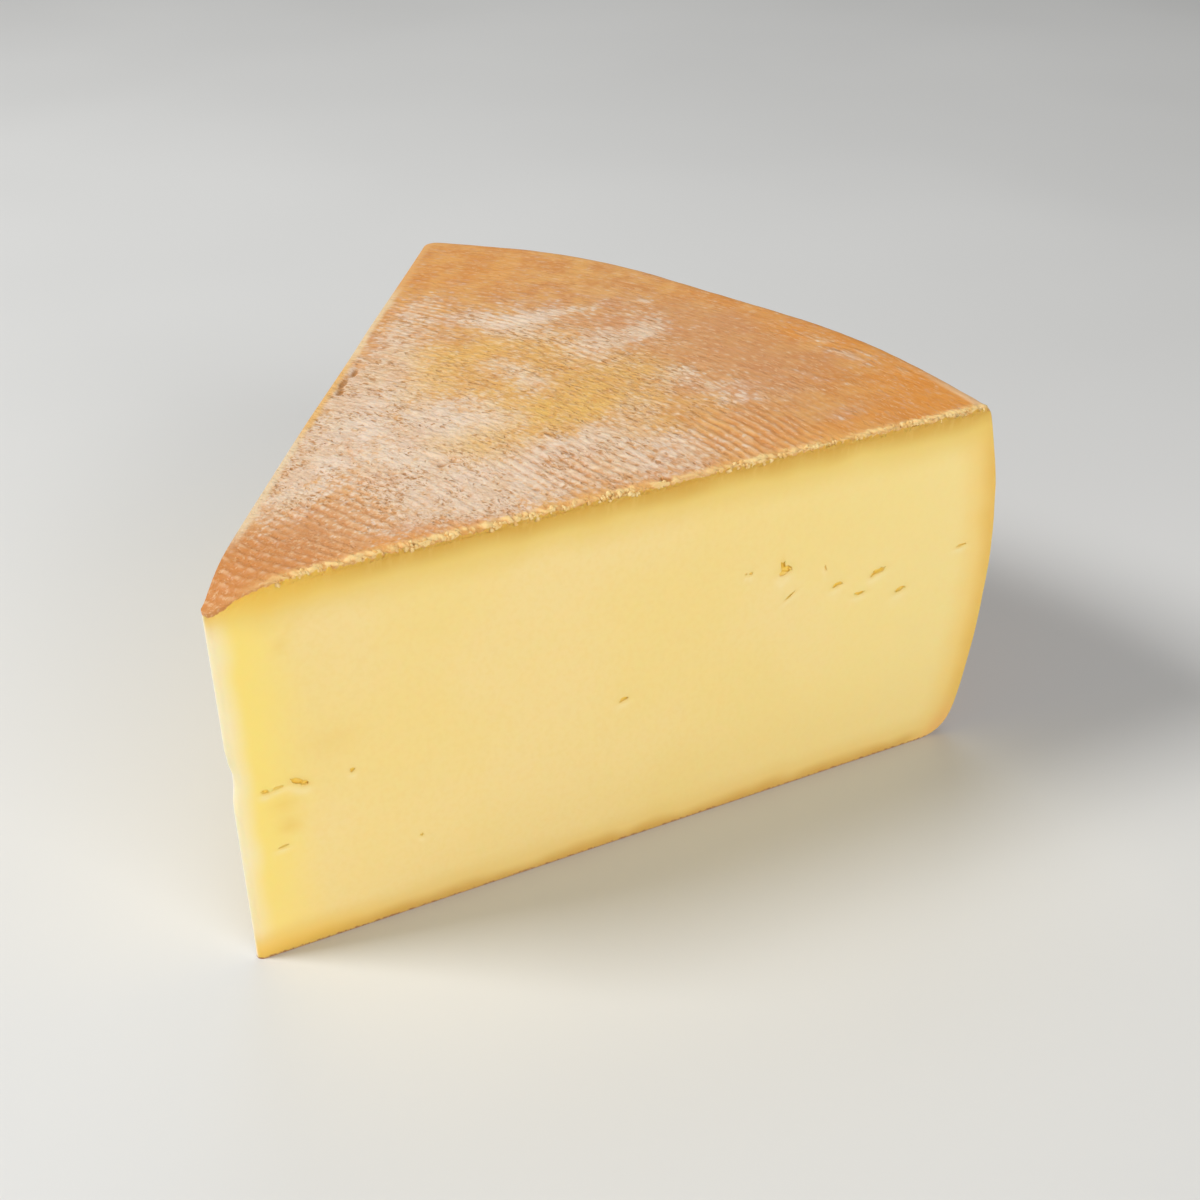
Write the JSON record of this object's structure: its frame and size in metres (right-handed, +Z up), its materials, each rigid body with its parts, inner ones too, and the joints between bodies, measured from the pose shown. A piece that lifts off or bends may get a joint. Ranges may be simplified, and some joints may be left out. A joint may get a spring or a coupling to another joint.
{
  "type": "raclette cheese wedge",
  "caption": "Wedge of washed-rind cheese cut from a round wheel, with a bulging rim, rough rind on top, two cut faces with small eyes, and a flat base to rest on.",
  "frame": {"origin": "middle of the bounding box's base, on the flat bottom rind", "axes": "+Z up; +X along the front cut face, from the tip towards the rim; the front cut face looks along -Y"},
  "size_m": [0.149, 0.1308, 0.0741],
  "materials": {
    "cheese": "satin, slightly waxy cheese paste; the top, rim and base are a dry orange-brown washed rind"
  },
  "bodies": {
    "root": {"raclette_wedge": "cheese"}
  },
  "joints": []
}
